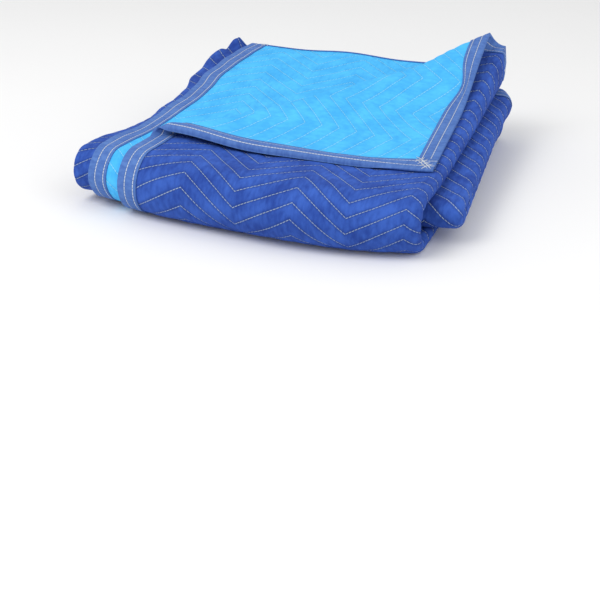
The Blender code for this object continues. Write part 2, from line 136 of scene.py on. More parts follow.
@dataclass(frozen=True)
class QuiltSizes:
    """The zigzag rows of stitches, as they run over the two layers that show most.

    A row's corners lie about a run apart across the cloth, and it rises and falls by so many
    rows.  On the top layer the corners and the rows follow tables, because hand sewing drifts.
    """

    run: float = 0.0722
    pitch: float = 0.0275
    rise: float = 2.2
    depth: float = 0.0015
    stitch: float = 0.0050
    corners: tuple[float, ...] = (-4.0, -3.0, -2.0, -1.0, 0.0, 1.0)
    front_across: tuple[float, ...] = (1.4155, 1.4815, 1.549, 1.6245, 1.691, 1.763)
    turned_across: tuple[float, ...] = (1.4155, 1.488, 1.5607, 1.641, 1.6995, 1.772)
    top_corner: float = 1.6995
    forward_along: tuple[float, float] = (0.30, 0.12)
    top_along: tuple[float, ...] = (0.0855, 0.258, 0.417, 0.4425, 0.469, 0.493, 0.513, 0.533,
                                    0.5565, 0.62, 0.75, 1.981)
    top_rows: tuple[float, ...] = (3.0, 9.0, 15.0, 16.0, 17.0, 18.0, 19.0, 20.0, 21.0, 23.5,
                                   28.2, 73.0)
    slant_along: tuple[float, ...] = (0.10, 0.26, 0.42, 0.60)
    slant: tuple[float, ...] = (0.23, 0.20, 0.11, 0.09)
    second_corner: float = 0.066
    second_slant: float = 0.12
    second_pitch: float = 0.0306
    second_row: float = 0.39
    hidden: tuple[float, float] = (0.50, 1.25)
    hidden_runs: float = 22.0

    def sewn(self, across: np.ndarray, along: np.ndarray) -> tuple[np.ndarray, np.ndarray]:
        """Sewn place of each flat point.

        Args:
            across: distance over the width.
            along: distance over the length.

        Returns:
            Runs of the zigzag across the cloth, and rows along it.
        """
        low, high = self.hidden
        share = smooth((across - low) / (high - low))
        slant = flowing(self.slant_along, self.slant, np.clip(along, 0.0, 0.7))
        to_corner = across - self.top_corner
        top_rows = flowing(self.top_along, self.top_rows, along + slant * to_corner)
        start, reach = self.forward_along
        forward = smooth((along - start) / reach)
        top_runs = (flowing(self.front_across, self.corners, across) * forward
                    + flowing(self.turned_across, self.corners, across) * (1.0 - forward))
        second = across - self.second_slant * along - self.second_corner
        second_runs = second / self.run - self.hidden_runs
        second_rows = along / self.second_pitch + self.second_row
        runs = share * top_runs + (1.0 - share) * second_runs
        return runs, share * top_rows + (1.0 - share) * second_rows

    def puff(self, across: np.ndarray, along: np.ndarray) -> np.ndarray:
        """How full the cloth is between its rows, from 0 on a row to 1 midway."""
        runs, rows = self.sewn(across, along)
        zig = 1.0 - np.abs(runs - 2.0 * np.floor(runs / 2.0) - 1.0)
        return np.sqrt(np.abs(np.sin(math.pi * (rows - self.rise * zig))))


QUILT = QuiltSizes()


@dataclass(frozen=True)
class Leg:
    """One stretch of a folding path: a straight run, or a turn about a centre."""

    name: str
    length: float
    turn: float = 0.0
    radius: float = 0.0


class FoldPath:
    """A path of straight runs and turns, measured by the cloth that it takes up."""

    def __init__(self, start: tuple[float, float], heading: tuple[float, float],
                 legs: list[Leg]) -> None:
        """Lay the legs end to end.

        Args:
            start: where the path starts.
            heading: the way it starts off.
            legs: its runs and turns, in order.
        """
        self.legs = legs
        self.starts: list[float] = []
        self.places: list[np.ndarray] = []
        self.ways: list[np.ndarray] = []
        place, way, used = np.array(start), np.array(heading), 0.0
        for leg in legs:
            self.starts.append(used)
            self.places.append(place)
            self.ways.append(way)
            used += leg.length
            end = np.array([leg.length])
            place = self._leg_at(len(self.starts) - 1, end, np.zeros(1))[0]
            way = self._turned(way, np.array([leg.turn]))[0]
        self.length = used

    @staticmethod
    def _turned(way: np.ndarray, angle: np.ndarray) -> np.ndarray:
        """A direction turned by each angle."""
        cos, sin = np.cos(angle), np.sin(angle)
        return np.stack([way[0] * cos - way[1] * sin, way[0] * sin + way[1] * cos], axis=1)

    def _leg_at(self, number: int, used: np.ndarray, offset: np.ndarray) -> np.ndarray:
        """Points on one leg, moved to the left of the way it runs."""
        leg, place, way = self.legs[number], self.places[number], self.ways[number]
        left = np.array([-way[1], way[0]])
        if not leg.turn:
            return place + used[:, None] * way + offset[:, None] * left
        side = 1.0 if leg.turn > 0 else -1.0
        centre = place + left * leg.radius * side
        spoke = self._turned(-left * side, leg.turn * used / leg.length)
        reach = leg.radius - side * offset
        return centre + spoke * reach[:, None]

    def span(self, name: str) -> tuple[float, float]:
        """Cloth length at the start and at the end of a leg."""
        number = [leg.name for leg in self.legs].index(name)
        return self.starts[number], self.starts[number] + self.legs[number].length

    def leg_of(self, used: np.ndarray) -> np.ndarray:
        """Number of the leg that each cloth length falls on."""
        return np.clip(np.searchsorted(self.starts, used, side="left") - 1, 0,
                       len(self.legs) - 1)

    def at(self, used: np.ndarray, offset: np.ndarray) -> np.ndarray:
        """Points at cloth lengths, moved to the left of the way the path runs.

        Args:
            used: cloth lengths.
            offset: how far to the left.

        Returns:
            One row of two numbers for each point.
        """
        found = np.zeros((len(used), 2))
        numbers = self.leg_of(used)
        for number, start in enumerate(self.starts):
            here = numbers == number
            if here.any():
                found[here] = self._leg_at(number, used[here] - start, offset[here])
        return found


def half_turn(name: str, radius: float, side: int, reach: float = 0.0) -> Leg:
    """A turn of half a circle, whose cloth is measured at a reach outside its radius."""
    return Leg(name, math.pi * (radius + reach), side * math.pi, radius)


@dataclass(frozen=True)
class Crease:
    """The slanting crease that the corner is turned over, in plan."""

    left_y: float = 0.084
    right_x: float = 0.4455
    lands: tuple[float, float] = (0.441, 0.118)
    radius_left: float = 0.0065
    radius_right: float = 0.0100
    settle: float = 0.15


class TurnedCorner:
    """The corner of the top layer, turned back over a slanting crease."""

    def __init__(self, edge_x: float, end_y: float, crease: Crease) -> None:
        """Work out the crease from where the corner lies flat and where it lands.

        Args:
            edge_x: where the top level's side edge lies.
            end_y: where its end lies.
            crease: the crease's sizes.
        """
        self.sizes = crease
        self.left = np.array([edge_x, crease.left_y])
        self.crease = np.array([crease.right_x, end_y]) - self.left
        self.side = np.array([edge_x, end_y]) - self.left
        self.length = float(np.linalg.norm(self.crease))
        self.along = self.crease / self.length
        self.outward = np.array([-self.along[1], self.along[0]])
        lands = np.array(crease.lands) - self.left
        self.lands_along = float(lands @ self.along)
        roll = math.pi * float(self.radius(np.array([self.lands_along]))[0])
        self.lands_off = roll - float(lands @ self.outward)

    def radius(self, along: np.ndarray) -> np.ndarray:
        """Radius of the crease's roll, at distances along the crease."""
        low, high = self.sizes.radius_left, self.sizes.radius_right
        return low + (high - low) * along / self.length

    def shares(self, x: np.ndarray, y: np.ndarray) -> tuple[np.ndarray, np.ndarray]:
        """Places of flat points, as shares of the crease and of the corner's side."""
        px, py = x - self.left[0], y - self.left[1]
        cross = self.crease[0] * self.side[1] - self.crease[1] * self.side[0]
        on_crease = (px * self.side[1] - py * self.side[0]) / cross
        on_side = (self.crease[0] * py - self.crease[1] * px) / cross
        return on_crease, on_side

    def place(self, x: np.ndarray, y: np.ndarray,
              height: np.ndarray) -> tuple[np.ndarray, np.ndarray, np.ndarray]:
        """Plan place and height of points of the top level.

        Args:
            x: flat place across.
            y: flat place from front to back.
            height: height over the level's middle.

        Returns:
            The plan place and the rise over the level's middle.
        """
        on_crease, on_side = self.shares(x, y)
        along = on_crease * self.length + on_side * self.lands_along
        off = on_side * self.lands_off
        radius = self.radius(along)
        angle = off / radius
        spoke = radius - height
        rolling = angle < math.pi
        out = np.where(rolling, spoke * np.sin(np.minimum(angle, math.pi)),
                       math.pi * radius - off)
        settled = smooth(-out / self.sizes.settle)
        down = 2 * radius + (CLOTH.pitch - 2 * radius) * settled - height
        rise = np.where(rolling, radius - spoke * np.cos(np.minimum(angle, math.pi)), down)
        plan_x = self.left[0] + self.along[0] * along + self.outward[0] * out
        plan_y = self.left[1] + self.along[1] * along + self.outward[1] * out
        return plan_x, plan_y, rise


@dataclass(frozen=True)
class Settling:
    """How the soft stack has settled, by lines across it."""

    x: tuple[float, ...] = (0.0, 0.11, 0.2, 0.3, 0.4, 0.457)
    bow: tuple[float, ...] = (0.0, 0.018, 0.028, 0.030, 0.018, 0.0)
    front: tuple[float, ...] = (1.0, 0.99, 0.98, 0.96, 0.94, 0.93)
    shoulder: tuple[float, ...] = (1.0, 0.95, 0.91, 0.88, 0.85, 0.84)
    back: tuple[float, ...] = (1.38, 1.37, 1.36, 1.36, 1.34, 1.32)
    shoulder_y: float = 0.13
    back_y: float = 0.5
    bow_end_y: float = 0.30
    taper: float = 0.045


@dataclass(frozen=True)
class Hanging:
    """How the top pass's loose end drops over the back of the stack."""

    start: float = 0.501
    centre: float = 12 * CLOTH.pitch - 0.004
    radius: float = 0.015
    x: tuple[float, ...] = (0.20, 0.30, 0.40, 0.446)
    share: tuple[float, ...] = (1.0, 0.9, 0.85, 0.85)
    held_from: float = 0.8


@dataclass(frozen=True)
class LooseEdges:
    """How the edges that show have shifted, by lines along the cloth.

    The second layer's edge and the left fold lie in or out, and the fold's back end puffs up.
    The turned corner's front hem curls up and rolls over, and its end is pinched once.  The two
    right folds are drawn in at their back ends, and the lower one stands up in a small ear.
    """

    along: tuple[float, ...] = (0.0, 0.06, 0.12, 0.18, 0.24, 0.30, 0.36, 0.42, 0.48, 0.56)
    edge_in: tuple[float, ...] = (0.0, -0.003, -0.005, -0.003, 0.004, 0.008, 0.007, 0.003,
                                  -0.002, -0.002)
    fold_in: tuple[float, ...] = (0.0, 0.002, -0.005, 0.001, 0.015, 0.021, 0.021, 0.012,
                                  -0.001, 0.0)
    edge_reach: float = 0.10
    fold_reach: float = 0.05
    puff_along: tuple[float, ...] = (0.0, 0.02, 0.04, 0.065, 0.085, 0.11, 0.15, 0.18)
    puff_up: tuple[float, ...] = (0.004, 0.010, 0.013, 0.005, 0.009, 0.007, 0.001, 0.0)
    puff_reach: float = 0.014
    hem_inward: tuple[float, ...] = (0.0, 0.004, 0.008, 0.011, 0.015, 0.020, 0.029, 0.045,
                                     0.070, 0.100, 0.130)
    hem_forward: tuple[float, ...] = (0.0030, 0.0076, 0.0110, 0.0122, 0.0131, 0.0138, 0.0148,
                                      0.0120, 0.0050, 0.0008, 0.0)
    hem_up: tuple[float, ...] = (-0.0020, 0.0010, 0.0034, 0.0044, 0.0044, 0.0030, 0.0006,
                                 -0.0006, -0.0008, -0.0003, 0.0)
    hem_tilt: tuple[float, ...] = (1.75, 1.50, 1.00, 0.45, -0.10, -0.25, -0.16, 0.0, 0.0, 0.0,
                                   0.0)
    end_in: float = 0.022
    end_reach: float = 0.055
    inner_in: float = 0.016
    inner_reach: float = 0.05
    drawn_from: float = 0.45
    drawn_x: tuple[float, float] = (0.40, 0.05)
    ear_up: float = 0.015
    ear_out: float = 0.006
    ear_reach: tuple[float, float] = (0.014, 0.09)
    top_left: float = 0.019
    top_across: tuple[float, float] = (1.62, 1.76)
    pinch: float = 0.011
    pinch_across: float = 1.568
    pinch_reach: float = 0.034


class FoldedStack:
    """Where each flat point of the cloth lies in the folded stack."""

    right_turn = 0.446
    left_turn = -0.018
    edge_two = 0.008
    back_end = 0.530
    inner_end = 0.486
    inner_turn = 0.087
    hill_height = 0.016
    hill_x = (0.27, 0.44)
    hill_y = (0.30, 0.51)
    origin = (0.225, 0.245, CLOTH.pitch / 2 - CLOTH.half_thick)

    def __init__(self) -> None:
        """Lay out the two folding paths and the turned corner."""
        pitch = CLOTH.pitch
        small, wide = 0.5 * pitch, 1.5 * pitch
        right, left = self.right_turn, self.left_turn
        turns = math.pi * (2 * small + wide)
        top_run = CLOTH.width - turns - (right - self.edge_two) - 2 * (right - left)
        self.section = FoldPath((self.edge_two, 2.5 * pitch), (1.0, 0.0), [
            Leg("level_two", right - self.edge_two),
            half_turn("inner_right", small, -1),
            Leg("level_one", right - left),
            half_turn("left", small, 1),
            Leg("level_zero", right - left),
            half_turn("outer_right", wide, 1),
            Leg("level_three", top_run),
        ])
        front_turn, front, inner, reach = 8 * pitch, 6 * pitch, 2 * pitch, 1.5 * pitch
        last_run = self.inner_end - self.inner_turn
        bends = math.pi * (front + 2 * inner + 3 * reach)
        middle = CLOTH.length - bends - (self.back_end - front_turn) - last_run
        back_turn = (middle + front_turn + self.inner_turn) / 2
        self.profile = FoldPath((self.back_end, 14 * pitch), (-1.0, 0.0), [
            Leg("top_pass", self.back_end - front_turn),
            half_turn("front_bend", front, 1, reach),
            Leg("bottom_pass", back_turn - front_turn),
            half_turn("back_bend", inner, 1, reach),
            Leg("low_pass", back_turn - self.inner_turn),
            half_turn("nose_bend", inner, -1, reach),
            Leg("high_pass", last_run),
        ])
        self.fold_start, self.fold_end = self.section.span("outer_right")
        self.top_end = self.profile.span("top_pass")[1]
        self.slip_at = (self.profile.span("bottom_pass")[1], self.profile.span("low_pass")[0],
                        self.profile.span("low_pass")[1], self.profile.span("high_pass")[0],
                        self.profile.span("high_pass")[1])
        self.slip = (0.0, 0.006, 0.036, 0.036, 0.018)
        self.corner = TurnedCorner(right - top_run, self.back_end, Crease())
        self.left_middle = sum(self.section.span("left")) / 2
        self.settling = Settling()
        self.hanging = Hanging()
        self.edges = LooseEdges()

    def _hill(self, x: np.ndarray, y: np.ndarray) -> np.ndarray:
        """Height that the turned corner pulls the top level up by, at the right back."""
        share_x = smooth((x - self.hill_x[0]) / (self.hill_x[1] - self.hill_x[0]))
        share_y = smooth((y - self.hill_y[0]) / (self.hill_y[1] - self.hill_y[0]))
        return self.hill_height * share_x * share_y

    def _hang(self, x: np.ndarray, y: np.ndarray, z: np.ndarray,
              held: np.ndarray) -> tuple[np.ndarray, np.ndarray]:
        """The loose end bent down over the back of the stack, less where it is held up."""
        hanging = self.hanging
        share = np.clip(flowing(hanging.x, hanging.share, np.clip(x, 0.2, 0.446)), 0.0, 1.0)
        full = share * (1.0 - held) * math.pi / 2
        beyond = np.maximum(y - hanging.start, 0.0)
        angle = np.minimum(beyond / hanging.radius, full)
        rest = beyond - angle * hanging.radius
        spoke = z - hanging.centre
        bent = beyond > 0.0
        new_y = hanging.start + spoke * np.sin(angle) + rest * np.cos(angle)
        new_z = hanging.centre + spoke * np.cos(angle) - rest * np.sin(angle)
        return np.where(bent, new_y, y), np.where(bent, new_z, z)

    def _settle(self, x: np.ndarray, y: np.ndarray, z: np.ndarray,
                sideways: np.ndarray) -> np.ndarray:
        """Places in the settled stack: lower at the front right, higher and narrower behind."""
        table = self.settling
        front = flowing(table.x, table.front, x)
        shoulder = flowing(table.x, table.shoulder, x)
        back = flowing(table.x, table.back, x)
        first = (shoulder - front) / table.shoulder_y
        second = (back - shoulder) / (table.back_y - table.shoulder_y)
        turn = soft_ramp(y - table.shoulder_y, 0.04)
        factor = front + first * y + (second - first) * turn
        bow = flowing(table.x, table.bow, np.clip(x, 0.0, 0.457))
        bow = np.maximum(bow, 0.0) * soft_ramp(1.0 - y / table.bow_end_y, 0.2)
        across = (x + sideways) * (1.0 - table.taper * y / table.back_y)
        ox, oy, oz = self.origin
        placed = np.stack([across - ox, y - bow - oy, (z - oz) * factor], axis=1)
        return self._slack(placed)

    def _shifted(self, u: np.ndarray, v: np.ndarray) -> tuple[np.ndarray, np.ndarray]:
        """How far the left edge and the left fold lie in, and how far the fold puffs up."""
        edges = self.edges
        on_top = smooth((self.top_end + 0.09 - v) / 0.03)
        at = np.clip(v, 0.0, 0.56)
        inward = flowing(edges.along, edges.edge_in, at) * hump(u / edges.edge_reach)
        low, high = edges.top_across
        spread = smooth((u - low) / (high - low)) * smooth((v - 0.22) / 0.16)
        from_fold = u - self.left_middle
        inward += flowing(edges.along, edges.fold_in, at) * hump(from_fold / edges.fold_reach)
        puff = flowing(edges.puff_along, edges.puff_up, np.clip(v, 0.0, 0.18))
        puff = puff * hump(from_fold / edges.puff_reach) * (v < 0.18)
        across, along = edges.ear_reach
        from_end = smooth(1.0 - (CLOTH.length - v) / along)
        ear = from_end * hump((u - (self.fold_start + self.fold_end) / 2) / across)
        inward = inward * on_top - edges.top_left * spread + edges.ear_out * ear
        return inward, puff + edges.ear_up * ear

    def _turned_edges(self, u: np.ndarray, v: np.ndarray, off: np.ndarray) -> np.ndarray:
        """Three shifts of the turned corner, at its pinched end and its rolled front hem."""
        edges = self.edges
        inward = np.clip(CLOTH.width - u, 0.0, edges.hem_inward[-1])
        shown = smooth((v - 0.02) / 0.09) * smooth((0.435 - v) / 0.04)
        forward = flowing(edges.hem_inward, edges.hem_forward, inward) * shown
        up = flowing(edges.hem_inward, edges.hem_up, inward) * shown
        tilt = flowing(edges.hem_inward, edges.hem_tilt, inward) * shown
        forward += off * np.sin(tilt)
        up -= off * (1.0 - np.cos(tilt))
        pinch = edges.pinch * hump((u - edges.pinch_across) / edges.pinch_reach)
        pinch = pinch * smooth(v / 0.03) * smooth((0.11 - v) / 0.08)
        return np.stack([pinch, -forward, up])

    def _ends_in(self, v: np.ndarray) -> np.ndarray:
        """How far the two back ends of the right folds are drawn in."""
        edges = self.edges
        top = np.clip(1.0 - v / edges.end_reach, 0.0, 1.0)
        inner = np.clip(1.0 - (CLOTH.length - v) / edges.inner_reach, 0.0, 1.0)
        return edges.end_in * top ** 2 + edges.inner_in * inner ** 2

    @staticmethod
    def _slack(points: np.ndarray) -> np.ndarray:
        """Soft unevenness of a hand-folded stack, the same for neighbouring layers."""
        x, y, z = points[:, 0], points[:, 1], points[:, 2]
        lift = np.clip(z / 0.09, 0.0, 1.2)
        sway = (np.sin(31.0 * x + 9.0 * y + 0.6) + 0.7 * np.sin(17.0 * x - 23.0 * y + 2.1)
                + 0.5 * np.sin(47.0 * x + 38.0 * y))
        points[:, 2] = z + 0.0011 * lift * sway
        near_front = smooth((-0.15 - y) / 0.08)
        points[:, 1] = y + 0.0014 * near_front * np.sin(26.0 * x + 55.0 * z + 1.0)
        near_left = smooth((-0.17 - x) / 0.05)
        waves = np.sin(44.0 * y + 70.0 * z + 0.5) + 0.6 * np.sin(97.0 * y + 1.7)
        points[:, 0] = x + 0.0016 * near_left * waves
        return points

    def fold(self, u: np.ndarray, v: np.ndarray, off: np.ndarray) -> np.ndarray:
        """Places of flat points of the cloth, off its middle towards the light face.

        Args:
            u: distance over the width.
            v: distance over the length.
            off: distance off the cloth's middle.

        Returns:
            One row of three numbers for each point, in the part's frame.
        """
        level = self.section.at(u, off)
        x, rise = level[:, 0], level[:, 1]
        run = self.profile.at(v, -(rise - CLOTH.strip / 2))
        y, z = run[:, 0], run[:, 1]
        on_top = v <= self.top_end
        sideways = np.where(on_top, 0.0, np.interp(v, self.slip_at, self.slip))
        lift = np.clip((u - self.fold_start) / (self.fold_end - self.fold_start), 0.0, 1.0)
        z = z + np.where(on_top, self._hill(x, y) * smooth(lift), 0.0)
        kept = self.hanging.held_from
        held = smooth((lift - kept) / (1.0 - kept))
        hung_y, hung_z = self._hang(x, y, z, held)
        drawn = self.edges.drawn_from
        pulled = self._ends_in(v) * (1.0 - smooth((lift - drawn) / (1.0 - drawn)) * on_top)
        turned = on_top & (u > self.fold_end) & (self.corner.shares(x, y)[1] > 0.0)
        flap_x, flap_y, height = self.corner.place(x, y, rise - 3.5 * CLOTH.pitch)
        flap_z = 15.5 * CLOTH.pitch + self._hill(flap_x, flap_y) + height
        pinch, forward, up = self._turned_edges(u, v, off)
        inward, puff = self._shifted(u, v)
        flap_x, flap_y, flap_z = flap_x + pinch, flap_y + forward, flap_z + up
        start, reach = self.edges.drawn_x
        x = np.where(turned, flap_x, x - pulled * smooth((x - start) / reach)) + inward
        hung_z = hung_z + puff
        y = np.where(turned, flap_y, np.where(on_top, hung_y, y))
        z = np.where(turned, flap_z, np.where(on_top, hung_z, z))
        return self._settle(x, y, z, sideways)


STACK = FoldedStack()


class Edge(Enum):
    """The four edges of the flat cloth."""

    SECOND_SIDE = "second_side"
    TOP_SIDE = "top_side"
    TOP_END = "top_end"
    INNER_END = "inner_end"


BOUND_STEPS = (0.0, 0.0020, 0.0045, 0.0070, 0.0090, 0.0110, 0.0130, 0.0155, 0.0185, 0.0215,
               0.0240, 0.0265, CLOTH.tape_width)


def lines_of(path: FoldPath, step: float, parts: dict[str, int],
             group: int) -> tuple[np.ndarray, list[int]]:
    """Lattice lines along a folding path, close enough for its turns.

    Args:
        path: the folding path.
        step: distance between lines on straight runs.
        parts: how many parts each turn is cut into.
        group: how many lines apart the block lines are on straight runs.

    Returns:
        The lines' cloth lengths, and the numbers of those that bound a block.
    """
    clear = CLOTH.tape_width + 0.4 * step
    lines = list(BOUND_STEPS)
    blocks = [0, len(lines) - 1]
    for leg, start in zip(path.legs, path.starts):
        straight = not leg.turn
        count = max(1, round(leg.length / step)) if straight else parts[leg.name]
        for part in range(1, count + 1):
            place = start + leg.length * part / count
            if clear < place < path.length - clear:
                lines.append(place)
                if not straight or part == count or part % group == 0:
                    blocks.append(len(lines) - 1)
    blocks.append(len(lines))
    lines += [path.length - inward for inward in reversed(BOUND_STEPS)]
    blocks.append(len(lines) - 1)
    return np.array(lines), blocks


@dataclass(frozen=True)
class Window:
    """A flat rectangle of the cloth that shows."""

    u_low: float
    u_high: float
    v_low: float
    v_high: float

    def meets(self, u_low: float, u_high: float, v_low: float, v_high: float) -> bool:
        """True where another rectangle overlaps this one."""
        return (u_low < self.u_high and u_high > self.u_low
                and v_low < self.v_high and v_high > self.v_low)


@dataclass
class Lattice:
    """A grid over the flat cloth, fine where a face shows and in wide blocks elsewhere."""

    across: np.ndarray
    along: np.ndarray
    across_blocks: list[int]
    along_blocks: list[int]
    used: np.ndarray = field(init=False)
    rings: list[list[int]] = field(init=False)

    def _number(self, i: int, j: int) -> int:
        """Number of the point where two lines cross."""
        return i * len(self.along) + j

    def fill(self, windows: list[Window]) -> None:
        """Find the faces and the points that they use.

        Args:
            windows: the flat rectangles that show.
        """
        used = np.zeros((len(self.across), len(self.along)), bool)
        used[0, :] = used[-1, :] = used[:, 0] = used[:, -1] = True
        wide: list[tuple[int, int, int, int]] = []
        self.rings = []
        for i_low, i_high in zip(self.across_blocks, self.across_blocks[1:]):
            for j_low, j_high in zip(self.along_blocks, self.along_blocks[1:]):
                box = (self.across[i_low], self.across[i_high],
                       self.along[j_low], self.along[j_high])
                if any(window.meets(*box) for window in windows):
                    used[i_low:i_high + 1, j_low:j_high + 1] = True
                    for i in range(i_low, i_high):
                        for j in range(j_low, j_high):
                            self.rings.append([self._number(i, j), self._number(i + 1, j),
                                               self._number(i + 1, j + 1), self._number(i, j + 1)])
                else:
                    used[[i_low, i_high, i_low, i_high], [j_low, j_low, j_high, j_high]] = True
                    wide.append((i_low, i_high, j_low, j_high))
        for i_low, i_high, j_low, j_high in wide:
            ring = [(i, j_low) for i in range(i_low, i_high)]
            ring += [(i_high, j) for j in range(j_low, j_high)]
            ring += [(i, j_high) for i in range(i_high, i_low, -1)]
            ring += [(i_low, j) for j in range(j_high, j_low, -1)]
            self.rings.append([self._number(i, j) for i, j in ring if used[i, j]])
        self.used = used.ravel()

    def border(self) -> list[int]:
        """Numbers of the points round the grid, in order."""
        last_i, last_j = len(self.across) - 1, len(self.along) - 1
        ring = [(i, 0) for i in range(last_i)]
        ring += [(last_i, j) for j in range(last_j)]
        ring += [(i, last_j) for i in range(last_i, 0, -1)]
        ring += [(0, j) for j in range(last_j, 0, -1)]
        return [self._number(i, j) for i, j in ring]


def mesh_piece(name: str, points: np.ndarray, faces: list[list[int]],
               maps: dict[str, np.ndarray], slots: list[int]) -> bpy.types.Object:
    """Make an object that carries places on the cloth as UV maps.

    Args:
        name: the piece's name.
        points: its points.
        faces: its faces, all wound alike.
        maps: each map's name, with a pair of numbers for each point.
        slots: each face's material number.

    Returns:
        The new object, with its faces pointing out.
    """
    mesh = bpy.data.meshes.new(name)
    mesh.from_pydata(points.tolist(), [], faces)
    mesh.update()
    mesh.calc_loop_triangles()
    corners = np.zeros(len(mesh.loop_triangles) * 3, np.int32)
    mesh.loop_triangles.foreach_get("vertices", corners)
    a, b, c = (points[corners[k::3]] for k in range(3))
    if float(np.einsum("ij,ij->i", a, np.cross(b, c)).sum()) < 0.0:
        mesh.flip_normals()
    mesh.polygons.foreach_set("material_index", slots)
    loops = np.zeros(len(mesh.loops), np.int32)
    mesh.loops.foreach_get("vertex_index", loops)
    for title, places in maps.items():
        mesh.uv_layers.new(name=title)
        layer = mesh.uv_layers[title]
        layer.data.foreach_set("uv", places[loops].astype(np.float32).ravel())
    mesh.shade_smooth()
    piece = bpy.data.objects.new(name, mesh)
    bpy.context.scene.collection.objects.link(piece)
    LOG.info("%s: %d points, %d faces", name, len(points), len(faces))
    return piece


class Graph:
    """A small helper that wires nodes in a tree."""

    def __init__(self, tree: bpy.types.NodeTree) -> None:
        """Keep the tree that the nodes go into."""
        self.tree = tree

    def node(self, kind: str, **settings: object) -> bpy.types.Node:
        """A new node of a kind, with its settings."""
        node = self.tree.nodes.new(kind)
        for name, value in settings.items():
            setattr(node, name, value)
        return node

    def feed(self, socket: bpy.types.NodeSocket, value: object) -> None:
        """Link a socket's source to it, or set its value."""
        if isinstance(value, bpy.types.NodeSocket):
            self.tree.links.new(value, socket)
        else:
            socket.default_value = value

    def math(self, operation: str, *values: object) -> bpy.types.NodeSocket:
        """The result of a math node."""
        node = self.node("ShaderNodeMath", operation=operation)
        for socket, value in zip(node.inputs, values):
            self.feed(socket, value)
        return node.outputs[0]

    def ease(self, value: object, low: float, high: float) -> bpy.types.NodeSocket:
        """A value eased from 0 at low to 1 at high."""
        node = self.node("ShaderNodeMapRange", interpolation_type="SMOOTHSTEP")
        self.feed(node.inputs["Value"], value)
        node.inputs["From Min"].default_value = low
        node.inputs["From Max"].default_value = high
        return node.outputs["Result"]

    def vector(self, x: object, y: object, z: object = 0.0) -> bpy.types.NodeSocket:
        """Three values as a vector."""
        node = self.node("ShaderNodeCombineXYZ")
        for socket, value in zip(node.inputs, (x, y, z)):
            self.feed(socket, value)
        return node.outputs[0]

    def noise(self, vector: object, scale: float, detail: float = 2.0) -> bpy.types.NodeSocket:
        """Soft noise over a vector."""
        node = self.node("ShaderNodeTexNoise")
        self.feed(node.inputs["Vector"], vector)
        node.inputs["Scale"].default_value = scale
        node.inputs["Detail"].default_value = detail
        return node.outputs["Fac"]

    def blend(self, share: object, low: object, high: object) -> bpy.types.NodeSocket:
        """A colour between two colours."""
        node = self.node("ShaderNodeMix", data_type="RGBA")
        self.feed(node.inputs[0], share)
        self.feed(node.inputs[6], low)
        self.feed(node.inputs[7], high)
        return node.outputs[2]

    def place(self, title: str) -> tuple[bpy.types.NodeSocket, bpy.types.NodeSocket]:
        """The place of the point shaded in one of the cloth's maps, across and along."""
        source = self.node("ShaderNodeUVMap", uv_map=title)
        parts = self.node("ShaderNodeSeparateXYZ")
        self.feed(parts.inputs[0], source.outputs[0])
        return parts.outputs[0], parts.outputs[1]


class EffectGroup:
    """A shader node group with named inputs and outputs, built once."""

    def __init__(self, name: str, inputs: dict[str, float], outputs: list[str]) -> None:
        """Make the group's sockets.

        Args:
            name: the group's name.
            inputs: its inputs with the values they start with.
            outputs: its outputs.
        """
        self.tree = bpy.data.node_groups.new(name, "ShaderNodeTree")
        for title, value in inputs.items():
            socket = self.tree.interface.new_socket(
                title, in_out="INPUT", socket_type="NodeSocketFloat")
            socket.default_value = value
        for title in outputs:
            self.tree.interface.new_socket(title, in_out="OUTPUT", socket_type="NodeSocketFloat")
        self.graph = Graph(self.tree)
        self.source = self.graph.node("NodeGroupInput")
        self.sink = self.graph.node("NodeGroupOutput")

    def take(self, title: str) -> bpy.types.NodeSocket:
        """One of the group's inputs, inside it."""
        return self.source.outputs[title]

    def give(self, title: str, value: object) -> None:
        """Feed one of the group's outputs, inside it."""
        self.graph.feed(self.sink.inputs[title], value)

    def place(self, graph: Graph, **values: object) -> dict[str, bpy.types.NodeSocket]:
        """Put the group in another tree.

        Args:
            graph: the tree that it goes into.
            **values: its inputs, with an underscore for a space.

        Returns:
            Its outputs by name.
        """
        node = graph.node("ShaderNodeGroup", node_tree=self.tree)
        for title, value in values.items():
            graph.feed(node.inputs[title.replace("_", " ")], value)
        return {socket.name: socket for socket in node.outputs}


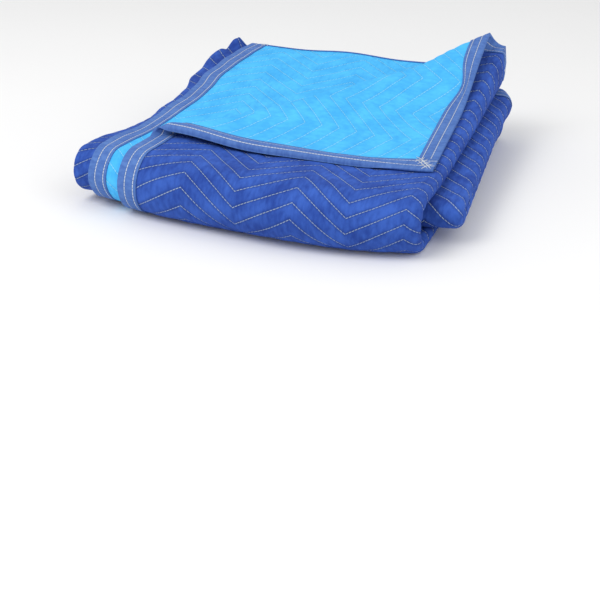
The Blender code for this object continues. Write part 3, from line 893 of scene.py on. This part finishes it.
def sewn_zigzag() -> EffectGroup:
    """Zigzag rows of stitches: the thread, the valley it draws in, and the puckers beside it."""
    group = EffectGroup("sewn_zigzag", {"Runs": 0.0, "Rows": 0.0, "Thread Width": 0.00050},
                        ["Thread", "Valley", "Pucker"])
    graph = group.graph
    level = math.cos(math.atan(QUILT.rise * QUILT.pitch / QUILT.run))
    runs, rows = group.take("Runs"), group.take("Rows")
    zig = graph.math("MULTIPLY", graph.math("PINGPONG", runs, 1.0), QUILT.rise)
    row = graph.math("SUBTRACT", rows, zig)
    number = graph.math("ROUND", row)
    off = graph.math("ABSOLUTE", graph.math("SUBTRACT", row, number))
    distance = graph.math("MULTIPLY", off, QUILT.pitch * level)
    length = graph.math("MULTIPLY", runs, QUILT.run / (level * QUILT.stitch))
    step = graph.math("FRACT", graph.math("MULTIPLY_ADD", number, 0.37, length))
    dash = graph.ease(graph.math("ABSOLUTE", graph.math("SUBTRACT", step, 0.5)), 0.43, 0.36)
    near = graph.math("SUBTRACT", 1.0, graph.ease(
        graph.math("DIVIDE", distance, group.take("Thread Width")), 0.7, 1.3))
    group.give("Thread", graph.math("MULTIPLY", dash, near))
    group.give("Valley", graph.math("SUBTRACT", 1.0, graph.ease(distance, 0.0, 0.0050)))
    beside = graph.math("SUBTRACT", 1.0, graph.ease(distance, 0.0005, 0.011))
    gathers = graph.noise(graph.vector(graph.math("MULTIPLY", runs, 11.0),
                                       graph.math("MULTIPLY", row, 1.3)), 1.0, 2.0)
    group.give("Pucker", graph.math("MULTIPLY", gathers, beside))
    return group


def woven_cloth() -> EffectGroup:
    """A plain weave: threads over and under each other, as a height from 0 to 1."""
    group = EffectGroup("woven_cloth", {"Across": 0.0, "Along": 0.0, "Pitch": 0.0009}, ["Height"])
    graph = group.graph
    pitch = group.take("Pitch")
    over = graph.math("SINE", graph.math(
        "MULTIPLY", graph.math("DIVIDE", group.take("Across"), pitch), math.pi))
    under = graph.math("SINE", graph.math(
        "MULTIPLY", graph.math("DIVIDE", group.take("Along"), pitch), math.pi))
    crossing = graph.math("MULTIPLY", over, under)
    group.give("Height", graph.math("MULTIPLY_ADD", crossing, 0.5, 0.5))
    return group


def brushed_nap() -> EffectGroup:
    """Uneven tone of a brushed cloth: broad clouds and short streaks, from 0 to 1."""
    group = EffectGroup("brushed_nap", {"Across": 0.0, "Along": 0.0, "Streak": 0.5}, ["Tone"])
    graph = group.graph
    across, along = group.take("Across"), group.take("Along")
    clouds = graph.noise(graph.vector(across, along), 24.0, 3.0)
    streaks = graph.noise(graph.vector(graph.math("MULTIPLY", across, 190.0),
                                       graph.math("MULTIPLY", along, 70.0)), 1.0, 3.0)
    share = group.take("Streak")
    rest = graph.math("SUBTRACT", 1.0, share)
    both = graph.math("ADD", graph.math("MULTIPLY", clouds, rest),
                      graph.math("MULTIPLY", streaks, share))
    group.give("Tone", graph.ease(both, 0.32, 0.68))
    return group


def sewn_lines() -> EffectGroup:
    """Two straight rows of stitches along a tape, at set distances from its folded edge."""
    group = EffectGroup("sewn_lines", {"Across": 0.0, "Along": 0.0, "First Row": 0.011,
                                       "Second Row": 0.024}, ["Thread", "Valley"])
    graph = group.graph
    across = graph.math("ABSOLUTE", group.take("Across"))
    first = graph.math("ABSOLUTE", graph.math("SUBTRACT", across, group.take("First Row")))
    second = graph.math("ABSOLUTE", graph.math("SUBTRACT", across, group.take("Second Row")))
    distance = graph.math("MINIMUM", first, second)
    step = graph.math("FRACT", graph.math("DIVIDE", group.take("Along"), 0.0046))
    dash = graph.ease(graph.math("ABSOLUTE", graph.math("SUBTRACT", step, 0.5)), 0.46, 0.40)
    near = graph.math("SUBTRACT", 1.0, graph.ease(distance, 0.00045, 0.00085))
    group.give("Thread", graph.math("MULTIPLY", dash, near))
    group.give("Valley", graph.math("SUBTRACT", 1.0, graph.ease(distance, 0.0, 0.0022)))
    return group


@dataclass
class Effects:
    """The shared effects, each built once."""

    zigzag: EffectGroup = field(default_factory=sewn_zigzag)
    weave: EffectGroup = field(default_factory=woven_cloth)
    nap: EffectGroup = field(default_factory=brushed_nap)
    lines: EffectGroup = field(default_factory=sewn_lines)


def shader_of(name: str, roughness: float, sheen: float,
              tint: tuple[float, float, float]) -> tuple[bpy.types.Material, Graph, bpy.types.Node]:
    """A new material with a cloth-like Principled shader.

    Args:
        name: the material's name.
        roughness: the shader's roughness.
        sheen: how strong the sheen of loose fibres is.
        tint: the sheen's colour.

    Returns:
        The material, its graph and its shader node.
    """
    material = bpy.data.materials.new(name)
    material.use_nodes = True
    shader = material.node_tree.nodes["Principled BSDF"]
    shader.inputs["Roughness"].default_value = roughness
    shader.inputs["Sheen Weight"].default_value = sheen
    shader.inputs["Sheen Roughness"].default_value = 0.45
    shader.inputs["Sheen Tint"].default_value = (*tint, 1.0)
    shader.inputs["Specular IOR Level"].default_value = 0.25
    return material, Graph(material.node_tree), shader


@dataclass(frozen=True)
class QuiltFinish:
    """A face of the quilted cloth: two tones of its dye, the thread sewn through it, and painted
    shade in the valleys along its rows.
    """

    name: str
    deep: tuple[float, float, float]
    bright: tuple[float, float, float]
    thread: tuple[float, float, float]
    thread_show: float
    valley_shade: float
    sheen: float

    def material(self, effects: Effects) -> bpy.types.Material:
        """Build the material.

        Args:
            effects: the shared effects.

        Returns:
            The material.
        """
        material, graph, shader = shader_of(self.name, 0.88, self.sheen, self.bright)
        across, along = graph.place(FLAT_MAP)
        runs, rows = graph.place(SEWN_MAP)
        sewn = effects.zigzag.place(graph, Runs=runs, Rows=rows)
        nap = effects.nap.place(graph, Across=across, Along=along, Streak=0.42)
        weave = effects.weave.place(graph, Across=across, Along=along)
        dye_and_shade = graph.blend(nap["Tone"], (*self.deep, 1.0), (*self.bright, 1.0))
        # Painted shade: the colour is darkened along the stitch valleys, where shade falls in the
        # quilting.
        shade = graph.math("MULTIPLY", sewn["Valley"], self.valley_shade)
        dye_and_shade = graph.blend(shade, dye_and_shade, (*[0.55 * part for part in self.deep], 1.0))
        show = graph.math("MULTIPLY", sewn["Thread"], self.thread_show)
        graph.feed(shader.inputs["Base Color"], graph.blend(show, dye_and_shade, (*self.thread, 1.0)))
        height = graph.math("MULTIPLY", sewn["Valley"], -0.0008)
        height = graph.math("MULTIPLY_ADD", sewn["Pucker"], 0.0026, height)
        height = graph.math("MULTIPLY_ADD", sewn["Thread"], 0.0005, height)
        height = graph.math("MULTIPLY_ADD", weave["Height"], 0.00012, height)
        height = graph.math("MULTIPLY_ADD", nap["Tone"], 0.00018, height)
        bump = graph.node("ShaderNodeBump")
        bump.inputs["Strength"].default_value = 0.9
        bump.inputs["Distance"].default_value = 1.0
        graph.feed(bump.inputs["Height"], height)
        graph.feed(shader.inputs["Normal"], bump.outputs[0])
        return material


@dataclass(frozen=True)
class TapeFinish:
    """Woven binding tape with its two rows of stitches, and painted shade along their valleys."""

    name: str = "periwinkle_tape"
    deep: tuple[float, float, float] = (0.056, 0.135, 0.415)
    bright: tuple[float, float, float] = (0.094, 0.203, 0.520)
    thread: tuple[float, float, float] = (0.62, 0.68, 0.78)

    def material(self, effects: Effects) -> bpy.types.Material:
        """Build the material.

        Args:
            effects: the shared effects.

        Returns:
            The material.
        """
        material, graph, shader = shader_of(self.name, 0.72, 0.15, self.bright)
        across, along = graph.place(FLAT_MAP)
        sewn = effects.lines.place(graph, Across=across, Along=along)
        nap = effects.nap.place(graph, Across=along, Along=across, Streak=0.7)
        weave = effects.weave.place(graph, Across=graph.math("ADD", across, along),
                                    Along=along, Pitch=0.0011)
        dye_and_shade = graph.blend(nap["Tone"], (*self.deep, 1.0), (*self.bright, 1.0))
        # Painted shade: the colour is darkened along the valleys of the two stitch rows.
        shade = graph.math("MULTIPLY", sewn["Valley"], 0.35)
        dye_and_shade = graph.blend(shade, dye_and_shade, (*[0.5 * part for part in self.deep], 1.0))
        show = graph.math("MULTIPLY", sewn["Thread"], 0.9)
        graph.feed(shader.inputs["Base Color"], graph.blend(show, dye_and_shade, (*self.thread, 1.0)))
        height = graph.math("MULTIPLY", sewn["Valley"], -0.0004)
        height = graph.math("MULTIPLY_ADD", sewn["Thread"], 0.0006, height)
        height = graph.math("MULTIPLY_ADD", weave["Height"], 0.00022, height)
        bump = graph.node("ShaderNodeBump")
        bump.inputs["Strength"].default_value = 0.9
        bump.inputs["Distance"].default_value = 1.0
        graph.feed(bump.inputs["Height"], height)
        graph.feed(shader.inputs["Normal"], bump.outputs[0])
        return material


@dataclass(frozen=True)
class ThreadFinish:
    """Thick pale thread of the stitches that close a corner."""

    name: str = "pale_thread"
    colour: tuple[float, float, float] = (0.66, 0.71, 0.78)

    def material(self, effects: Effects) -> bpy.types.Material:
        """Build the material.

        Args:
            effects: the shared effects.

        Returns:
            The material.
        """
        material, graph, shader = shader_of(self.name, 0.6, 0.2, self.colour)
        place = graph.node("ShaderNodeTexCoord")
        fibres = graph.noise(place.outputs["Object"], 900.0, 2.0)
        dark = tuple(0.75 * part for part in self.colour)
        graph.feed(shader.inputs["Base Color"],
                   graph.blend(fibres, (*dark, 1.0), (*self.colour, 1.0)))
        bump = graph.node("ShaderNodeBump")
        bump.inputs["Strength"].default_value = 0.5
        bump.inputs["Distance"].default_value = 0.0003
        graph.feed(bump.inputs["Height"], fibres)
        graph.feed(shader.inputs["Normal"], bump.outputs[0])
        return material


OUTER_FINISH = QuiltFinish("royal_blue_face", deep=(0.014, 0.050, 0.290),
                           bright=(0.040, 0.118, 0.500), thread=(0.42, 0.52, 0.62),
                           thread_show=0.80, valley_shade=0.45, sheen=0.30)
INNER_FINISH = QuiltFinish("sky_blue_face", deep=(0.050, 0.410, 0.850),
                           bright=(0.085, 0.540, 0.970), thread=(0.42, 0.84, 1.00),
                           thread_show=0.60, valley_shade=0.10, sheen=0.15)


@dataclass
class QuiltedCloth:
    """The quilted cloth: one sheet with a dark and a light face, in its folds."""

    name: str = "blanket_cloth"
    step: float = 0.0038
    group: int = 5
    calm: float = 0.6
    calm_reach: float = 0.03
    turn_parts: dict[str, int] = field(default_factory=lambda: {
        "inner_right": 6, "left": 8, "outer_right": 10,
        "front_bend": 36, "back_bend": 16, "nose_bend": 16})

    def _windows(self) -> tuple[list[Window], list[Window]]:
        """The flat rectangles that show, on the dark face and on the light one."""
        section, profile = STACK.section, STACK.profile
        left_low, left_high = section.span("left")
        front_end = profile.span("front_bend")[1]
        back_low, back_high = profile.span("back_bend")
        whole = CLOTH.length + 1.0
        dark = [Window(STACK.fold_start, CLOTH.width + 1.0, -1.0, front_end + 0.03),
                Window(STACK.fold_start, STACK.fold_end, -1.0, whole),
                Window(left_low - 0.03, left_high + 0.03, -1.0, whole),
                Window(STACK.fold_end, CLOTH.width + 1.0, back_low, back_high)]
        light = [Window(STACK.fold_end - 0.002, CLOTH.width + 1.0, -1.0, STACK.top_end),
                 Window(-1.0, section.span("level_two")[1], -1.0, STACK.top_end),
                 Window(-1.0, 0.10, -1.0, front_end + 0.03)]
        return dark, light

    def _half(self, u: np.ndarray, v: np.ndarray) -> np.ndarray:
        """Half the cloth's thickness: drawn in along the stitches and under the binding."""
        edge = np.minimum(np.minimum(u, CLOTH.width - u), np.minimum(v, CLOTH.length - v))
        calm = 1.0 - self.calm * hump((u - STACK.left_middle) / self.calm_reach)
        body = CLOTH.half_thick - QUILT.depth * calm * (1.0 - QUILT.puff(u, v))
        share = smooth((edge - CLOTH.tape_width) / CLOTH.bound_ramp)
        return CLOTH.bound_half + (body - CLOTH.bound_half) * share

    def build(self) -> bpy.types.Object:
        """Build the cloth's mesh.

        Returns:
            The cloth.
        """
        across, across_blocks = lines_of(STACK.section, self.step, self.turn_parts, self.group)
        along, along_blocks = lines_of(STACK.profile, self.step, self.turn_parts, self.group)
        u, v = (grid.ravel() for grid in np.meshgrid(across, along, indexing="ij"))
        half = self._half(u, v)
        points, flats, faces, slots, maps = [], [], [], [], []
        count = 0
        for slot, (windows, side) in enumerate(zip(self._windows(), (-1.0, 1.0))):
            lattice = Lattice(across, along, across_blocks, along_blocks)
            lattice.fill(windows)
            kept = np.flatnonzero(lattice.used)
            numbers = np.full(len(u), -1)
            numbers[kept] = np.arange(len(kept)) + count
            count += len(kept)
            maps.append(numbers)
            points.append(STACK.fold(u[kept], v[kept], side * half[kept]))
            flats.append(np.stack([u[kept], v[kept]], axis=1))
            for ring in lattice.rings:
                face = numbers[ring].tolist()
                faces.append(face if side > 0 else face[::-1])
                slots.append(slot)
            border = lattice.border()
        for first, second in zip(border, border[1:] + border[:1]):
            faces.append([int(maps[1][second]), int(maps[1][first]),
                          int(maps[0][first]), int(maps[0][second])])
            slots.append(0)
        flat = np.concatenate(flats)
        sewn = np.stack(QUILT.sewn(flat[:, 0], flat[:, 1]), axis=1)
        return mesh_piece(self.name, np.concatenate(points), faces,
                          {FLAT_MAP: flat, SEWN_MAP: sewn}, slots)

    def dress(self, piece: bpy.types.Object, effects: Effects) -> None:
        """Give the cloth its two faces' finishes."""
        for finish in (OUTER_FINISH, INNER_FINISH):
            piece.data.materials.append(finish.material(effects))


@dataclass
class BindingTape:
    """A woven tape folded over one edge of the cloth and sewn down twice."""

    node: str
    edge: Edge
    rows: tuple[float, float] = (0.011, 0.024)
    round_steps: int = 5

    def _section(self, off: float, end: float, plump: float) -> list[tuple[float, float]]:
        """One skin's section, from the dark side round the edge to the light side.

        Args:
            off: how far the skin lies off the cloth's middle.
            end: how far it reaches past the cloth's edge.
            plump: how far it swells between the rows of stitches.

        Returns:
            Distances in from the edge, and distances off the middle.
        """
        sides = []
        for inward in reversed(BOUND_STEPS):
            near = min(abs(inward - row) for row in self.rows)
            swell = plump * (min(near / 0.004, 1.0) - 0.5)
            sides.append((inward, off + swell))
        turn = []
        for step in range(1, self.round_steps):
            angle = math.pi * (step / self.round_steps - 0.5)
            turn.append((-end * math.cos(angle), off * math.sin(angle)))
        dark = [(inward, -reach) for inward, reach in sides]
        light = [(inward, reach) for inward, reach in reversed(sides)]
        return dark + turn + light

    def _along(self) -> np.ndarray:
        """The tape's lines along the cloth's edge."""
        cloth = QuiltedCloth()
        out, clear = CLOTH.tape_end, CLOTH.tape_width + CLOTH.tape_butt
        if self.edge in (Edge.SECOND_SIDE, Edge.TOP_SIDE):
            lines, _ = lines_of(STACK.profile, cloth.step, cloth.turn_parts, cloth.group)
            return np.concatenate([[-out], lines, [CLOTH.length + out]])
        lines, _ = lines_of(STACK.section, cloth.step, cloth.turn_parts, cloth.group)
        inside = lines[(lines > clear + 0.001) & (lines < CLOTH.width - clear - 0.001)]
        return np.concatenate([[clear], inside, [CLOTH.width - clear]])

    def build(self) -> bpy.types.Object:
        """Build the tape's mesh.

        Returns:
            The tape.
        """
        outer = self._section(CLOTH.tape_outer, CLOTH.tape_end, 0.0004)
        inner = self._section(CLOTH.tape_inner, CLOTH.tape_butt, 0.0)
        ring = np.array(outer + inner[::-1])
        lines = self._along()
        count = len(ring)
        inward = np.tile(ring[:, 0], len(lines))
        off = np.tile(ring[:, 1], len(lines))
        along = np.repeat(lines, count)
        if self.edge == Edge.SECOND_SIDE:
            u, v = inward, along
        elif self.edge == Edge.TOP_SIDE:
            u, v = CLOTH.width - inward, along
        elif self.edge == Edge.TOP_END:
            u, v = along, inward
        else:
            u, v = along, CLOTH.length - inward
        points = STACK.fold(u, v, off)
        faces = []
        for line in range(len(lines) - 1):
            base = line * count
            for k in range(count):
                after = (k + 1) % count
                faces.append([base + k, base + after, base + count + after, base + count + k])
        last = (len(lines) - 1) * count
        faces += self._cap(0, count, len(outer), False)
        faces += self._cap(last, count, len(outer), True)
        flat = np.stack([inward, along], axis=1)
        return mesh_piece("binding_" + self.edge.value, points, faces, {FLAT_MAP: flat},
                          [0] * len(faces))

    @staticmethod
    def _cap(base: int, count: int, outer: int, far: bool) -> list[list[int]]:
        """The faces that close one end of the tape, between its outer and inner skin."""
        faces = []
        for k in range(outer - 1):
            ring = [base + k, base + count - 1 - k, base + count - 2 - k, base + k + 1]
            faces.append(ring if not far else ring[::-1])
        return faces

    def dress(self, piece: bpy.types.Object, finish: bpy.types.Material) -> None:
        """Give the tape its finish."""
        piece.data.materials.append(finish)


@dataclass
class CornerStitches:
    """The clusters of thread that close the tapes at the cloth's corners."""

    name: str = "corner_stitches"
    thread: float = 0.00042
    sides: int = 6
    points_each: int = 5

    def _strokes(self) -> list[tuple[float, float, float, float]]:
        """One corner's stitches, each from one flat place to another, in from both edges."""
        strokes = [(0.032, 0.029, 0.006, 0.005), (0.028, 0.032, 0.003, 0.008),
                   (0.034, 0.033, 0.009, 0.003), (0.026, 0.024, 0.002, 0.003)]
        for start in (0.010, 0.0155, 0.021, 0.0265):
            strokes.append((start + 0.0055, start - 0.006, start - 0.006, start + 0.0045))
        strokes.append((0.030, 0.022, 0.014, 0.020))
        strokes.append((0.009, 0.012, 0.001, 0.016))
        return strokes

    def build(self) -> bpy.types.Object:
        """Build the stitches of all four corners, on both faces.

        Returns:
            The stitches, as one mesh.
        """
        points, faces = [], []
        base = 0
        for u_side in (0, 1):
            for v_side in (0, 1):
                for face_side in (-1.0, 1.0):
                    for a_u, a_v, b_u, b_v in self._strokes():
                        share = np.linspace(0.0, 1.0, self.points_each)
                        arch = 0.0005 * np.sin(math.pi * share) - 0.0002
                        u = a_u + (b_u - a_u) * share
                        v = a_v + (b_v - a_v) * share
                        u = CLOTH.width - u if u_side else u
                        v = CLOTH.length - v if v_side else v
                        off = face_side * (CLOTH.tape_outer + 0.0003 + arch)
                        line = STACK.fold(u, v, off)
                        tube, rings = self._tube(line, base)
                        points.append(tube)
                        faces += rings
                        base += len(tube)
        return mesh_piece(self.name, np.concatenate(points), faces, {}, [0] * len(faces))

    def _tube(self, line: np.ndarray, base: int) -> tuple[np.ndarray, list[list[int]]]:
        """A closed tube of thread along a line.

        Args:
            line: the points that it follows.
            base: the number of its first point.

        Returns:
            Its points and its faces.
        """
        way = np.gradient(line, axis=0)
        way /= np.linalg.norm(way, axis=1)[:, None]
        side = np.cross(way, np.array([0.31, 0.52, 0.79]))
        side /= np.linalg.norm(side, axis=1)[:, None]
        up = np.cross(side, way)
        angles = np.arange(self.sides) * 2 * math.pi / self.sides
        rings = (line[:, None, :] + self.thread * (side[:, None, :] * np.cos(angles)[None, :, None]
                                                   + up[:, None, :] * np.sin(angles)[None, :, None]))
        faces = []
        for ring in range(len(line) - 1):
            for k in range(self.sides):
                after = (k + 1) % self.sides
                low = base + ring * self.sides
                faces.append([low + k, low + after, low + self.sides + after, low + self.sides + k])
        faces.append([base + k for k in range(self.sides - 1, -1, -1)])
        top = base + (len(line) - 1) * self.sides
        faces.append([top + k for k in range(self.sides)])
        return rings.reshape(-1, 3), faces

    def dress(self, piece: bpy.types.Object, effects: Effects) -> None:
        """Give the stitches their finish."""
        piece.data.materials.append(ThreadFinish().material(effects))


@dataclass(frozen=True)
class Studio:
    """Pale floor, soft lights and the camera at the photograph's angle."""

    lens: float = 65.9
    azimuth: float = 22.885
    elevation: float = 26.535
    place: tuple[float, float, float] = (0.5616, -1.3817, 0.5409)

    def floor(self) -> bpy.types.Object:
        """A wide pale floor under the blanket."""
        bpy.ops.mesh.primitive_grid_add(x_subdivisions=4, y_subdivisions=4, size=60.0)
        floor = bpy.context.object
        floor.name = "studio_floor"
        material, graph, shader = shader_of("pale_floor", 0.9, 0.0, (1.0, 1.0, 1.0))
        place = graph.node("ShaderNodeTexCoord")
        tone = graph.noise(place.outputs["Object"], 1.5, 2.0)
        graph.feed(shader.inputs["Base Color"],
                   graph.blend(tone, (0.86, 0.86, 0.86, 1.0), (0.90, 0.90, 0.90, 1.0)))
        floor.data.materials.append(material)
        return floor

    @staticmethod
    def _lamp(name: str, place: tuple[float, float, float], size: float, power: float) -> None:
        """A square soft light that points at the blanket."""
        light = bpy.data.lights.new(name, "AREA")
        light.size = size
        light.energy = power
        lamp = bpy.data.objects.new(name, light)
        lamp.location = place
        aim = Vector((0.0, 0.0, 0.05)) - Vector(place)
        lamp.rotation_mode = "QUATERNION"
        lamp.rotation_quaternion = aim.to_track_quat("-Z", "Y")
        bpy.context.scene.collection.objects.link(lamp)

    def lights(self) -> None:
        """A large key light, a fill and a pale surround."""
        self._lamp("key_light", (-0.9, -1.5, 2.2), 1.6, 34.0)
        self._lamp("fill_light", (2.0, -0.6, 1.4), 2.0, 12.0)
        world = bpy.data.worlds.new("pale_surround")
        world.use_nodes = True
        sky = world.node_tree.nodes["Background"]
        sky.inputs["Color"].default_value = (1.0, 1.0, 1.0, 1.0)
        sky.inputs["Strength"].default_value = 0.75
        bpy.context.scene.world = world
        bpy.context.scene.view_settings.view_transform = "Standard"

    def camera(self) -> None:
        """The camera at the photograph's angle."""
        az, el = math.radians(self.azimuth), math.radians(self.elevation)
        forward = Vector((-math.sin(az) * math.cos(el), math.cos(az) * math.cos(el), -math.sin(el)))
        right = Vector((math.cos(az), math.sin(az), 0.0))
        up = right.cross(forward)
        turn = Matrix((right, up, -forward)).transposed().to_4x4()
        lens = bpy.data.cameras.new("photo_camera")
        lens.lens = self.lens
        lens.sensor_width = 36.0
        camera = bpy.data.objects.new("photo_camera", lens)
        camera.matrix_world = Matrix.Translation(Vector(self.place)) @ turn
        bpy.context.scene.collection.objects.link(camera)
        bpy.context.scene.camera = camera


def main() -> None:
    """Build the cloth, its tapes and its stitches in order."""
    logging.basicConfig(level=logging.INFO, format="%(message)s")
    for left_over in list(bpy.data.objects):
        bpy.data.objects.remove(left_over, do_unlink=True)
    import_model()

    effects = Effects()
    cloth = QuiltedCloth()
    cloth_piece = cloth.build()
    cloth.dress(cloth_piece, effects)
    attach(cloth_piece, "root")
    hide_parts("quilted_cloth")

    tape_material = TapeFinish().material(effects)
    tapes = (BindingTape("tape_second_layer_side", Edge.SECOND_SIDE),
             BindingTape("tape_top_layer_side", Edge.TOP_SIDE),
             BindingTape("tape_top_end", Edge.TOP_END),
             BindingTape("tape_inner_end", Edge.INNER_END))
    for tape in tapes:
        piece = tape.build()
        tape.dress(piece, tape_material)
        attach(piece, "root")
        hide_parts(tape.node)

    stitches = CornerStitches()
    stitch_piece = stitches.build()
    stitches.dress(stitch_piece, effects)
    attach(stitch_piece, "root")

    studio = Studio()
    studio.floor()
    studio.lights()
    studio.camera()


if __name__ == "__main__":
    main()
